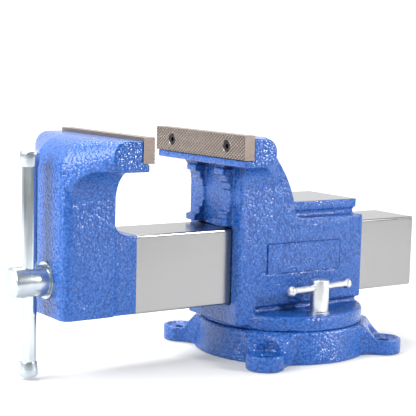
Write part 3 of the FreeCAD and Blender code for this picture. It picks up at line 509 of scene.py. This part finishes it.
def thread(low, high, outside, root, lead, place, step=0.00075, segments=48):
    """A right-hand thread along X as one closed skin."""
    points, rings = [], int(round((high - low) / step)) + 1
    for ring in range(rings):
        x = low + (high - low) * ring / (rings - 1)
        ends = min(1.0, (high - x) / 0.004, (x - low) / 0.004)
        for spot in range(segments):
            angle = 2 * math.pi * spot / segments
            phase = (x / lead - spot / segments) % 1.0
            crest = min(1.0, max(0.0, (abs(phase - 0.5) - 0.14) / 0.16))
            radius = root + (outside - root) * crest
            radius = min(radius, outside - 0.002 * (1 - max(0.0, ends)))
            points.append((x, place.y + radius * math.cos(angle), place.z + radius * math.sin(angle)))
    mesh = shell(points, rings)
    finish_mesh(mesh, 80)
    return mesh


def spindle(looks):
    low, high = [Vector(c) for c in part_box("main_screw")]
    place = middle("main_screw")
    hub = (high.z - low.z) / 2
    washer = Vector(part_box("thrust_washer")[0])
    grip = middle("handle_bar")
    hole = (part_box("handle_bar")[1][0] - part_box("handle_bar")[0][0]) / 2 + 0.00008
    back = washer.x - 0.00005
    barrel = lathe(rounded([
        (low.x, 0.0004), (low.x, hub - 0.0019), (low.x + 0.0016, hub), (back - 0.0008, hub),
        (back, hub - 0.0008), (back, 0.0004),
    ], 0.0012, 3), (0, place.y, place.z), (1, 0, 0), 128)
    bore = lathe([(-0.05, hole), (0.05, hole)], (grip.x, grip.y, place.z), (0, 0, 1), 96)
    flares = [lathe([(a * way, r) for a, r in ((hub - 0.0009, hole - 0.0005), (hub + 0.003, hole + 0.0034))],
                    (grip.x, grip.y, place.z), (0, 0, 1), 96) for way in (1, -1)]
    for piece in flares:
        finish_mesh(piece, 30)
    barrel = cut(barrel, bore, *flares)
    finish_mesh(barrel, 30)
    plain = -0.245
    neck = lathe([(back - 0.001, 0.0136), (plain + 0.002, 0.0136), (plain + 0.004, 0.0118)],
                 (0, place.y, place.z), (1, 0, 0), 64)
    screw = thread(plain, high.x, 0.0139, 0.0112, 0.006, place)
    new_piece("screw_spindle", joined(barrel, neck, screw), "spindle",
              "main_screw", looks["bright_plated"])


def lock_parts(looks):
    for side in ("near", "far"):
        low, high = [Vector(c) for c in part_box(f"lock_bolt_{side}")]
        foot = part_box(f"lock_washer_{side}")[1][2]
        place = middle(f"lock_bolt_{side}")
        bar = middle(f"lock_bar_{side}")
        hub = (high.x - low.x) / 2
        ends = [Vector(c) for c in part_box(f"lock_bar_{side}")]
        knob = (ends[1].z - ends[0].z) / 2
        slant = Vector((math.cos(math.radians(7.3)), math.sin(math.radians(7.3)), 0))
        head = lathe(rounded([
            (foot, 0.0004), (foot, hub - 0.0006), (foot + 0.0008, hub), (high.z - 0.0011, hub),
            (high.z, hub - 0.0013), (high.z, 0.0004),
        ], 0.0008, 3), (place.x, place.y, 0), (0, 0, 1), 96)
        hole = ROD + 0.00015
        head = cut(head, lathe([(-0.03, hole), (0.03, hole)], bar, slant, 48))
        finish_mesh(head, 30)
        shank = thread_up(low.z, foot + 0.001, 0.00595, 0.0049, 0.00175, place)
        new_piece(f"lock_screw_{side}", joined(head, shank), f"lock_bolt_{side}",
                  f"lock_bolt_{side}", looks["zinc_plated"])
        half = 0.056
        shape = [(-half, 0.0003), (-half, knob - 0.0024), (-half + 0.0022, knob),
                 (-half + 0.0068, knob), (-half + 0.0084, ROD + 0.0003), (-half + 0.0098, ROD)]
        shape = rounded(shape + [(-a, r) for a, r in reversed(shape)], 0.0016, 3)
        new_piece(f"lock_rod_{side}", lathe(shape, bar, slant, 64), f"lock_bar_{side}",
                  f"lock_bar_{side}", looks["zinc_plated"])


def thread_up(low, high, outside, root, lead, place):
    """The same thread stood up along Z."""
    mesh = thread(low, high, outside, root, lead, Vector((0, 0, 0)), 0.00035, 32)
    mesh.transform(Matrix(((0, 0, 1, place.x), (0, 1, 0, place.y), (1, 0, 0, 0), (0, 0, 0, 1))))
    finish_mesh(mesh, 80)
    return mesh


def serrations(face):
    """Painted shade in the crossing grooves of the plate face at x = face."""
    def groove_shade(paint):
        x, y, z = paint.axes()
        lines = []
        for lean in (1, -1):
            spot = paint.sum("MULTIPLY_ADD", y, 0.82 / SERRATION,
                             paint.sum("MULTIPLY", z, lean * 1.15 / SERRATION))
            tooth = paint.sum("ABSOLUTE", paint.sum("SUBTRACT", paint.sum("FRACT", spot), 0.5))
            lines.append(paint.ramp(tooth, 0.36, 0.46))
        both = paint.sum("MAXIMUM", *lines)
        off = paint.sum("ABSOLUTE", paint.sum("SUBTRACT", x, face))
        return paint.sum("MULTIPLY", both, paint.ramp(off, 0.0012, 0.0009))
    return groove_shade


def jaw_plates():
    for side, way, body in (("static", -1, "static_jaw"), ("moving", 1, "moving_jaw")):
        node = f"{side}_jaw_plate"
        low, high = [Vector(c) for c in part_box(node)]
        face = low.x if way < 0 else high.x
        back = high.x if way < 0 else low.x
        across, up = 340, 52
        bm = bmesh.new()
        grid = []
        for i in range(across + 1):
            column = []
            for k in range(up + 1):
                y = low.y + (high.y - low.y) * i / across
                z = low.z + (high.z - low.z) * k / up
                rim = min(y - low.y, high.y - y, z - low.z, high.z - z)
                dip = 0.0
                for lean in (1, -1):
                    line = abs(((y * 0.82 + lean * z * 1.15) / SERRATION) % 1.0 - 0.5) * 2
                    dip = max(dip, max(0.0, 1 - (1 - line) / 0.32))
                dip = SERRATION_DEEP * dip + (0.0006 if rim < 0.0002 else 0.0)
                column.append(bm.verts.new((face - way * dip, y, z)))
            grid.append(column)
        for i in range(across):
            for k in range(up):
                bm.faces.new((grid[i][k], grid[i + 1][k], grid[i + 1][k + 1], grid[i][k + 1]))
        edges = [edge for edge in bm.edges if edge.is_boundary]
        pulled = bmesh.ops.extrude_edge_only(bm, edges=edges)
        ring = [v for v in pulled["geom"] if isinstance(v, bmesh.types.BMVert)]
        for v in ring:
            v.co.x = back
        bmesh.ops.contextual_create(bm, geom=[e for e in bm.edges if e.is_boundary])
        bmesh.ops.triangulate(bm, faces=[f for f in bm.faces if len(f.verts) > 4])
        bmesh.ops.recalc_face_normals(bm, faces=bm.faces)
        mesh = bpy.data.meshes.new(node)
        bm.to_mesh(mesh)
        bm.free()
        screws = NODES[f"{side}_plate_screws"].data
        tools = []
        for sign in (1, -1):
            spots = [v.co for v in screws.vertices if v.co.y * sign > 0]
            level = (max(p.z for p in spots) + min(p.z for p in spots)) / 2
            wide = (max(p.z for p in spots) - min(p.z for p in spots)) / 2
            middle_y = (max(p.y for p in spots) + min(p.y for p in spots)) / 2
            depth = 0.009 + 0.0003
            profile = [(-0.002, wide + 0.0012), (0.0, wide + 0.0012), (0.0009, wide + 0.0003),
                       (depth, wide + 0.0003), (depth, 0.0043), (0.03, 0.0043)]
            tools.append(lathe([(a, r) for a, r in profile], (face, middle_y, level),
                               (-way, 0, 0), 48))
        mesh = cut(mesh, *tools)
        finish_mesh(mesh, 28)
        look = steel(f"plate_{side}", PLATE, 0.36, (60, 60, 900), 0.00006, groove_shade=serrations(face))
        new_piece(f"{side}_serrated_plate", mesh, body, node, look)


def side_plaques(blue):
    """The blank raised panels on both sides of the static casting."""
    for side, sign in (("near", -1), ("far", 1)):
        bm = bmesh.new()
        (left, foot), (right, top) = PLAQUE_LOW, PLAQUE_HIGH
        corners = [(left, foot), (right, foot), (right, top), (left, top)]
        outer = [bm.verts.new((x, sign * 0.0562, z)) for x, z in corners]
        face = bm.faces.new(outer)
        raised = bmesh.ops.extrude_face_region(bm, geom=[face])
        for v in raised["geom"]:
            if isinstance(v, bmesh.types.BMVert):
                v.co.y = sign * 0.0586
        bmesh.ops.bevel(bm, geom=[e for e in bm.edges if abs(e.verts[0].co.y) > 0.058
                                  and abs(e.verts[1].co.y) > 0.058],
                        offset=0.0007, segments=2, affect="EDGES")
        mesh = bpy.data.meshes.new("plaque")
        bm.to_mesh(mesh)
        bm.free()
        finish_mesh(mesh, 50)
        new_piece(f"plaque_{side}", mesh, "static_jaw", None, blue)


def carried_over():
    looks = {
        "plate_steel": steel("plate_ground", PLATE, 0.36, (60, 60, 900), 0.00006),
        "bright_plated": steel("bright_plate", (0.48, 0.53, 0.57), 0.24, (120, 120, 120), 0.000004),
        "handle_plated": steel("handle_plate", (0.40, 0.44, 0.48), 0.16, (170, 170, 5), 0.00002,
                               contrast=2.2),
        "zinc_plated": steel("zinc_plate", (0.60, 0.62, 0.63), 0.3, (160, 160, 160), 0.0000015),
        "black_steel": steel("black_oxide", (0.045, 0.045, 0.05), 0.35, (300, 300, 300)),
        "plain_steel": steel("turned_steel", (0.46, 0.46, 0.45), 0.33, (300, 300, 300)),
        "nut_iron": steel("nut_iron", (0.20, 0.20, 0.21), 0.5, (300, 300, 300), metal=0.8),
        "spring_steel": steel("spring_wire", (0.28, 0.28, 0.29), 0.35, (300, 300, 300)),
        "hammered_blue": hammered("enamel_spare"),
    }
    for part in frame["record"]["subparts"]:
        mesh = NODES[part["node"]].data
        mesh.materials.clear()
        mesh.materials.append(looks[part["material_slot"]])
    return looks


camera()
studio()
finishes = carried_over()
castings()
handle(finishes)
spindle(finishes)
lock_parts(finishes)
jaw_plates()
